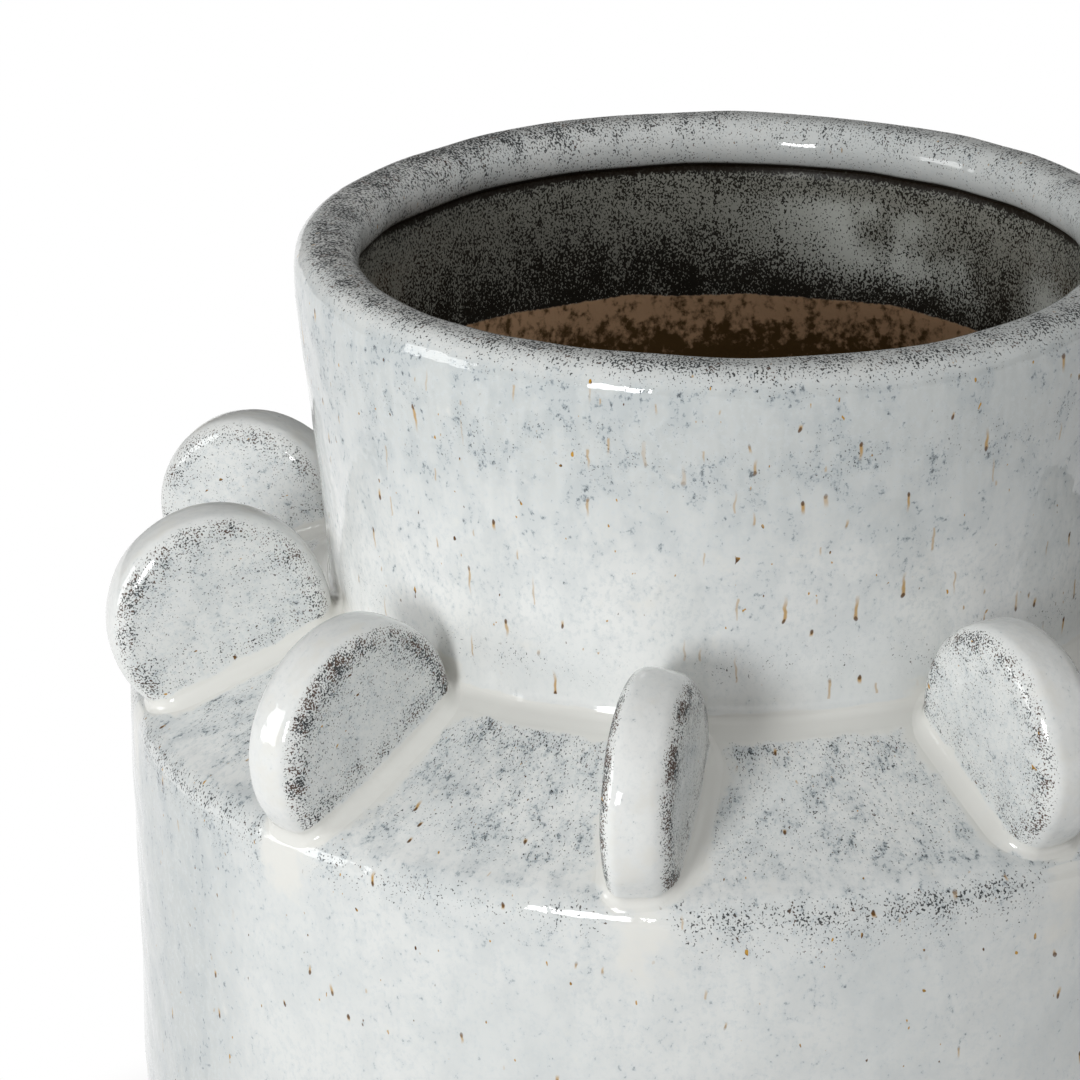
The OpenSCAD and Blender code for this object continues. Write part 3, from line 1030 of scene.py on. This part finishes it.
def outerLook(t, kind, maps):
    s, c = glaze, colours

    def faded(name, ends):
        return fade(t, maps[name], *s[ends])

    ragged = calc(t, "SUBTRACT", maps["border"], 0.5)
    pooled = fade(t, scaled(t, ragged, s["poolRagged"], maps["pool"]), *s["poolEdge"])
    unpooled = calc(t, "SUBTRACT", 1.0, pooled)
    even = times(t, calc(t, "POWER", maps["grain"], 2.0), kind["even"])
    clumped = addNode(t, "Mix", {0: even, 2: faded("cluster", "grainClumps"), 3: 1.0}).outputs[0]
    grainy = times(t, maps["grain"], clumped, unpooled)
    specky = times(t, maps["speck"], faded("cluster", "speckClumps"), unpooled)
    flank = scaled(t, faded("streaks", "flankStreaks"), maps["drips"], s["flank"])
    spots = calc(t, "SUBTRACT", maps["mottle"], scaled(t, specky, s["spotBySpeck"], s["spotLevel"]))
    grainDot = grainAt(t, maps["drawn"], kind["grain"], grainy)
    rustTint = scaled(t, maps["brown"], s["rustByBrown"], maps["tint"])
    rusty = fade(t, rustTint, kind["rust"], kind["rust"] + s["rustWide"])

    # White, cooler in patches, greyer on the flanks and where the grey map holds painted shade, hazy where
    # thin, then spots, grain, flecks and pools
    coats = [
        (fade(t, maps["patch"], *s["coolPatches"], kind["cool"]), c["cool"]),
        (times(t, maps["grey"], flank), c["flankGrey"]),
        (times(t, faded("mottle", "milk"), unpooled, faded("speck", "milkBySpeck")), c["cool"]),
        (times(t, specky, s["haze"]), c["haze"]),
        (times(t, grainy, s["thin"]), c["thin"]),
        (fade(t, spots, *s["spots"]), c["spot"]),
        (fade(t, spots, *s["hearts"]), c["charcoal"]),
        (times(t, grainDot, s["grain"]), layOver(t, rusty, c["charcoal"], c["rust"])),
        (times(t, faded("flecks", "flecks"), unpooled, faded("speck", "fleckBySpeck")),
         layOver(t, faded("tint", "fleckTint"), c["ochre"], c["iron"])),
    ]
    if kind["hasInside"]:
        streak, head = dripLook(t, maps["flow"], maps["drips"])
        coats.append((times(t, streak, unpooled, s["streak"]), c["ochre"]))
        coats.append((times(t, head, unpooled, s["head"]), c["iron"]))
    coats.append((times(t, pooled, s["pool"]), c["cream"]))

    rough = scaled(t, grainDot, s["grainRough"], scaled(t, maps["fine"], s["fineRough"], s["roughness"]))
    shine = scaled(t, grainDot, s["grainShine"], s["shine"])
    bumps = scaled(t, grainDot, s["grainBump"], scaled(t, maps["pits"], s["pits"], maps["lumps"]))
    return layAll(t, c["white"], coats), rough, shine, times(t, bumps, faded("pool", "bumpByPool"))


innerGlaze = {
    "paleFade": (0.35, 0.60), "paleGrain": -0.58,
    "lineZ": 284.0, "lineNoise": (42.0, 2.0), "lineDrawn": 0.2, "lineWave": 7.0,  # where the glaze ends
    "darkByHeight": (0.0, 22.0, 1.20, 0.64), "darkClumps": (0.36, 0.62, 0.80, 1.15), "darkByBrown": 0.30,
    "grain": 0.50, "dark": 0.96,
    # the lip values lay the near-black under the lip: brown glaze, and painted shadow under the overhang
    "lipRagged": 0.9, "lip": (0.62, 0.88, 0.0, 0.95),
    # bare clay darker further down inside: painted shade deep in the vessel, over the clay's own dark
    # blotches
    "clayShadeDeep": (-1.0, -18.0, -0.13, 0.19), "clayRagged": 0.8, "clayEdge": (0.6, 0.1), "clayBump": 0.5,
    "rough": 0.12, "lipRough": 0.25, "lipShine": -0.8,
}


# Inside: dark grey with dark grains, brown glaze and painted shadow under the lip, bare clay below the glaze
# line
def innerLook(t, maps, colour, rough, shine, bumps):
    s, c = innerGlaze, colours
    pale = times(t, maps["pale"], fade(t, maps["patch"], *s["paleFade"]))
    height = vectorDot(t, addNode(t, "TexCoord").outputs["Object"], (0, 0, 1 / mm))
    wave = calc(t, "SUBTRACT", noiseAt(t, drawOut(t, maps["flow"], s["lineDrawn"]), *s["lineNoise"]), 0.5)
    aboveLine = calc(t, "SUBTRACT", height, scaled(t, wave, s["lineWave"], s["lineZ"]))
    dark = scaled(t, pale, s["paleGrain"], fade(t, aboveLine, *s["darkByHeight"]))
    dark = times(t, dark, fade(t, maps["cluster"], *s["darkClumps"]))
    darkDot = grainAt(t, maps["drawn"], s["grain"], scaled(t, maps["brown"], s["darkByBrown"], dark))
    ragged = scaled(t, calc(t, "SUBTRACT", maps["fine"], 0.5), s["lipRagged"], maps["brown"])
    inner = layAll(t, c["innerGrey"], (
        (pale, c["innerPale"]),
        (times(t, darkDot, s["dark"]), c["innerDark"]),
        # brown glaze and painted shadow under the lip
        (fade(t, ragged, *s["lip"]), c["underLipShade"]),
    ))
    # Painted shade: the bare clay darkens further down inside
    clayColour, clayFine = clayLook(t, maps["flow"], fade(t, aboveLine, *s["clayShadeDeep"]))
    clayEdge = scaled(t, maps["fine"], s["clayRagged"], aboveLine)
    bare = times(t, maps["inside"], fade(t, clayEdge, *s["clayEdge"]))
    colour = layAll(t, colour, ((maps["inside"], inner), (bare, clayColour)))
    rough = scaled(t, maps["brown"], s["lipRough"], scaled(t, maps["inside"], s["rough"], rough))
    rough = addNode(t, "Mix", {0: bare, 2: rough, 3: clay["roughness"]}).outputs[0]
    shine = times(t, shine, scaled(t, maps["brown"], s["lipShine"], 1.0, clamp=True))
    return colour, rough, shine, scaled(t, times(t, bare, clayFine), s["clayBump"], bumps)


def newMaterial(name):
    m = bpy.data.materials.new(name)
    m.use_nodes = True
    return m, m.node_tree, m.node_tree.nodes["Principled BSDF"].inputs


def makeGlaze(kind):
    m, t, shader = newMaterial(kind["name"])
    maps = readMaps(t, kind)
    look = outerLook(t, kind, maps)
    colour, rough, shine, bumps = innerLook(t, maps, *look) if kind["hasInside"] else look
    bump = addNode(t, "Bump", {"Height": bumps, **glaze["bump"]}).outputs[0]
    feed(t, shader, {
        "Base Color": colour, "Roughness": rough, "Specular IOR Level": shine, "Normal": bump,
    })
    return m


def makeClay(name):
    m, t, shader = newMaterial(name)
    flow = addNode(t, "Attribute", attribute_name="flow").outputs["Vector"]
    colour, fine = clayLook(t, flow, clay["floorDeep"])
    bump = addNode(t, "Bump", {"Height": fine, **clay["bump"]}).outputs[0]
    feed(t, shader, {"Base Color": colour, "Roughness": clay["roughness"], "Normal": bump})
    return m


materials = {name: makeGlaze(kind) for name, kind in glazeKinds.items()}
materials["floor"] = makeClay("bareClay")
for piece in pieces.values():
    kind = next((k for k in ("fin", "floor") if piece.name.startswith(k)), "vessel")
    piece.data.materials.append(materials[kind])
    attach(piece, "root")
print("materials", [m.name for m in materials.values()])

# Pale floor that fades to plain white past the object's shadow, and five soft lamps
studio = {
    "floorSide": 12.0, "fadeFrom": 0.17, "fadeTo": 0.27,
    "worldStrength": 0.18, "worldColour": (1.0, 0.985, 0.955, 1),
    "paper": 0.62, "lampColour": (0.985, 1.0, 1.0), "aimHeight": 0.25,
    "lamps": {  # degrees from the camera's side and up, metres away
        "sideSoftbox": {"side": -79, "up": 9, "away": 1.5, "size": (0.50, 0.66), "watts": 5.6},
        "frontSoftbox": {"side": -29, "up": 10, "away": 1.5, "size": (0.34, 0.40), "watts": 10.2},
        "keySoftbox": {"side": -20, "up": 36, "away": 1.6, "size": (0.9, 0.9), "watts": 1.2},
        "topSoftbox": {"side": -20, "up": 84, "away": 1.8, "size": (1.6, 1.6), "watts": 3.3},
        "rightFill": {"side": 62, "up": 42, "away": 2.0, "size": (1.8, 1.8), "watts": 6.0},
    },
}


def makeFloor(s):
    side = s["floorSide"] / 2
    mesh = bpy.data.meshes.new("studioFloor")
    corners = [(-side, -side, 0), (side, -side, 0), (side, side, 0), (-side, side, 0)]
    mesh.from_pydata(corners, [], [(0, 1, 2, 3)])
    floor = addObject("studioFloor", mesh)
    m, t, _ = newMaterial("studioPaper")
    t.nodes.clear()
    paper = addNode(t, "BsdfDiffuse", {"Color": (s["paper"], s["paper"], s["paper"], 1)})
    glow = addNode(t, "Emission")
    path = addNode(t, "LightPath").outputs
    seen = calc(t, "MAXIMUM", path["Is Camera Ray"], path["Is Glossy Ray"])
    seen = calc(t, "MAXIMUM", seen, path["Is Transmission Ray"])
    place = addNode(t, "TexCoord").outputs["Object"]
    away = addNode(t, "VectorMath", {0: place}, operation="LENGTH").outputs["Value"]
    share = calc(t, "MULTIPLY", seen, fade(t, away, s["fadeFrom"], s["fadeTo"]))
    mix = addNode(t, "MixShader", {0: share, 1: paper.outputs[0], 2: glow.outputs[0]})
    addNode(t, "OutputMaterial", {"Surface": mix.outputs[0]})
    mesh.materials.append(m)


def makeLights(s):
    world = bpy.data.worlds.new("studioWorld")
    world.use_nodes = True
    glow = world.node_tree.nodes["Background"].inputs
    feed(world.node_tree, glow, {"Color": s["worldColour"], "Strength": s["worldStrength"]})
    bpy.context.scene.world = world
    for name, lamp in s["lamps"].items():
        data = bpy.data.lights.new(name, "AREA")
        data.shape = "RECTANGLE"
        data.size, data.size_y = lamp["size"]
        data.energy = lamp["watts"]
        data.color = s["lampColour"]
        obj = addObject(name, data)
        side, up = math.radians(lamp["side"] + photoCamera["turn"]), math.radians(lamp["up"])
        aim = Vector((math.sin(side) * math.cos(up), -math.cos(side) * math.cos(up), math.sin(up)))
        obj.location = Vector((0, 0, s["aimHeight"])) + aim * lamp["away"]
        obj.rotation_mode = "QUATERNION"
        obj.rotation_quaternion = (-aim).to_track_quat("-Z", "Y")


makeFloor(studio)
makeLights(studio)
makeCamera(photoCamera)
bpy.context.scene.view_settings.view_transform = "Standard"
print("studio and camera ready")
